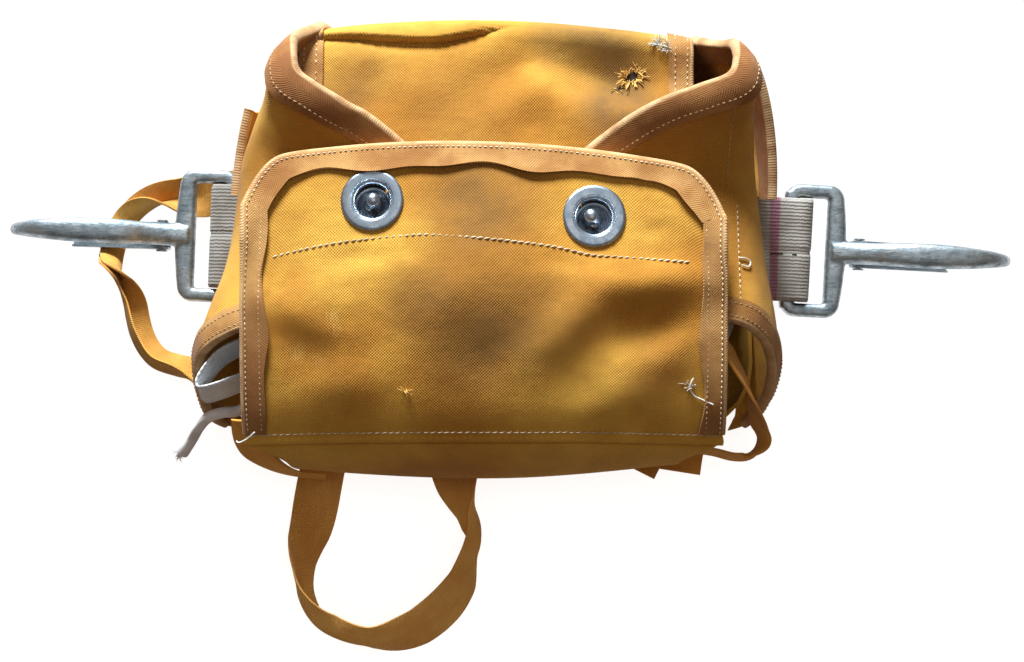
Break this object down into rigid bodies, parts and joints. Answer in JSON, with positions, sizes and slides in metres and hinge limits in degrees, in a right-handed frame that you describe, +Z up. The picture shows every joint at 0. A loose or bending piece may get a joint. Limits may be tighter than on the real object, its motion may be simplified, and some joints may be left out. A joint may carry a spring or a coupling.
{
  "type": "packed cargo parachute",
  "caption": "Small packed cargo parachute lying on its back: a bound canvas pack closed by a front flap, with a forged snap hook on a webbing tab at each side and loose tape loops.",
  "frame": {"origin": "on the flat back that the pack lies on, near the pack's middle", "axes": "+X from one snap hook to the other along the pack's width, +Y towards the top flap, +Z up out of the front flap"},
  "size_m": [0.4256, 0.2507, 0.0888],
  "materials": {
    "canvas": "plain-woven cotton duck, matte",
    "binding_tape": "herringbone cotton tape, matte",
    "canopy_white": "undyed cotton, matte",
    "webbing": "ribbed cotton webbing, matte",
    "cast_steel": "worn plated forging, satin",
    "eyelet_metal": "zinc plated, satin"
  },
  "bodies": {
    "root": {"back_panel": "canvas", "canopy": "canopy_white", "carry_loop": "binding_tape", "cone_left": "cast_steel", "cone_right": "cast_steel", "corner_strap": "binding_tape", "front_flap": "canvas", "front_flap_binding": "binding_tape", "grommet_left": "eyelet_metal", "grommet_right": "eyelet_metal", "left_loop": "binding_tape", "right_loop": "binding_tape", "rivet_left": "cast_steel", "rivet_right": "cast_steel", "side_flap_left": "canvas", "side_flap_left_lower_binding": "binding_tape", "side_flap_left_upper_binding": "binding_tape", "side_flap_right": "canvas", "side_flap_right_lower_binding": "binding_tape", "side_flap_right_upper_binding": "binding_tape", "side_tab_left": "canvas", "side_tab_left_binding": "binding_tape", "side_tab_right": "canvas", "side_tab_right_binding": "binding_tape", "snap_left": "cast_steel", "snap_right": "cast_steel", "strap_end_a": "binding_tape", "strap_end_b": "binding_tape", "top_flap": "canvas", "top_flap_binding_left": "binding_tape", "top_flap_binding_right": "binding_tape", "webbing_left": "webbing", "webbing_right": "webbing", "white_cord": "canopy_white", "white_fold": "canopy_white"},
    "left_gate": {"gate_left": "cast_steel"},
    "right_gate": {"gate_right": "cast_steel"}
  },
  "joints": [
    {"name": "left_gate_hinge", "type": "hinge", "parent": "root", "child": "left_gate", "pos_m": [-0.14599, 0.0096, 0.01092], "axis": [0.0349, 0.9738, 0.2248], "range_deg": [0, 20], "stiffness_Nm_per_rad": 0.05, "springref_deg": -11.46},
    {"name": "right_gate_hinge", "type": "hinge", "parent": "root", "child": "right_gate", "pos_m": [0.15427, 0.00132, 0.01052], "axis": [-0.0523, -0.9646, -0.2585], "range_deg": [0, 20], "stiffness_Nm_per_rad": 0.05, "springref_deg": -11.46}
  ]
}
